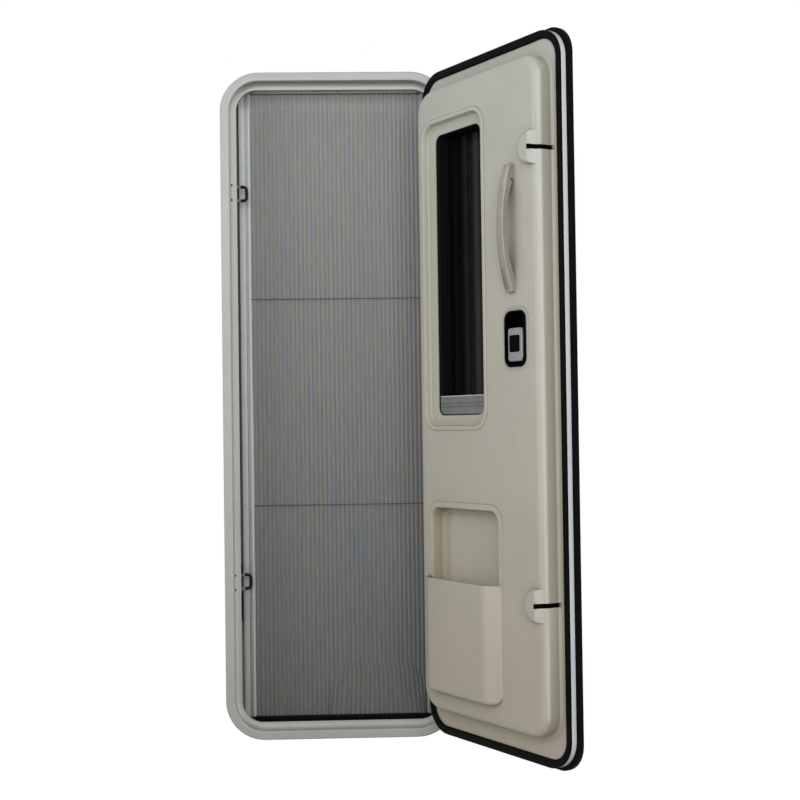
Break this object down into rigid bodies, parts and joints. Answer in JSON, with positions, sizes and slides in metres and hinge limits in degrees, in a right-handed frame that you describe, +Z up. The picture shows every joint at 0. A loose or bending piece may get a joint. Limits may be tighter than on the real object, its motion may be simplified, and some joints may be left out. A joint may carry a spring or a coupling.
{
  "type": "caravan entry door",
  "caption": "Caravan entry door: rounded light grey frame with a drawn pleated insect screen, and a hinged leaf with a cream moulded inner panel, window, grab handle and storage bin.",
  "frame": {"origin": "on the back face of the frame's flange, in the middle of the bottom strip, where it meets the vehicle wall", "axes": "+X to the hinge side seen from outside, +Y into the vehicle, +Z up"},
  "size_m": [0.8861, 0.6443, 1.8],
  "materials": {
    "frame_shell": "satin light grey moulded frame",
    "rail_grey": "satin grey anodised screen profile",
    "rail_black": "matte black threshold profile",
    "screen_cloth": "grey pleated insect mesh",
    "screen_cord": "grey braided cord",
    "striker_steel": "black coated steel rod",
    "hinge_metal": "white powder coated aluminium",
    "skin_white": "smooth white outer sheet",
    "core_foam": "rigid insulating foam",
    "edge_metal": "bright white aluminium edge",
    "seal_rubber": "black rubber seal",
    "liner_cream": "cream thermoformed panel, fine satin grain",
    "gasket_black": "black window gasket",
    "tinted_pane": "dark tinted acrylic",
    "blind_grey": "grey blind rail",
    "handle_metal": "satin champagne metal",
    "lock_black": "black lock housing",
    "paddle_silver": "silver painted paddle"
  },
  "bodies": {
    "frame": {"door_frame": "frame_shell", "frame_sleeve": "frame_shell", "screen_top_rail": "rail_grey", "screen_receiver": "rail_grey", "screen_cord_top": "screen_cord", "screen_bottom_rail": "rail_black", "screen_lead_bar": "rail_grey", "screen_cassette": "rail_grey", "pleated_screen": "screen_cloth", "screen_cord_upper": "screen_cord", "screen_cord_lower": "screen_cord", "striker_upper": "striker_steel", "striker_lower": "striker_steel", "hinge_frame_upper": "hinge_metal", "hinge_frame_middle": "hinge_metal", "hinge_frame_lower": "hinge_metal"},
    "leaf": {"hinge_leaf_upper": "hinge_metal", "hinge_leaf_middle": "hinge_metal", "hinge_leaf_lower": "hinge_metal", "edge_profile": "edge_metal", "outer_rim_seal": "seal_rubber", "inner_seal": "seal_rubber", "outer_skin": "skin_white", "leaf_core": "core_foam", "inner_liner": "liner_cream", "latch_hook_upper": "lock_black", "latch_hook_lower": "lock_black", "storage_bin": "liner_cream", "window_gasket": "gasket_black", "inner_pane": "tinted_pane", "outer_pane": "tinted_pane", "window_frame": "gasket_black", "blind_rail": "blind_grey", "grab_handle": "handle_metal", "lock_escutcheon": "lock_black", "outer_handle": "lock_black", "key_barrel": "paddle_silver"},
    "paddle": {"release_paddle": "paddle_silver", "lock_button": "lock_black"}
  },
  "joints": [
    {"name": "leaf_swing", "type": "hinge", "parent": "frame", "child": "leaf", "pos_m": [0.273, -0.033, 0.89], "axis": [0, 0, 1], "range_deg": [-122.1, 27.9]},
    {"name": "release_pull", "type": "hinge", "parent": "leaf", "child": "paddle", "pos_m": [0.43167, -0.44402, 0.983], "axis": [0.5314, -0.8471, 0], "range_deg": [0, 22], "stiffness_Nm_per_rad": 0.9}
  ]
}
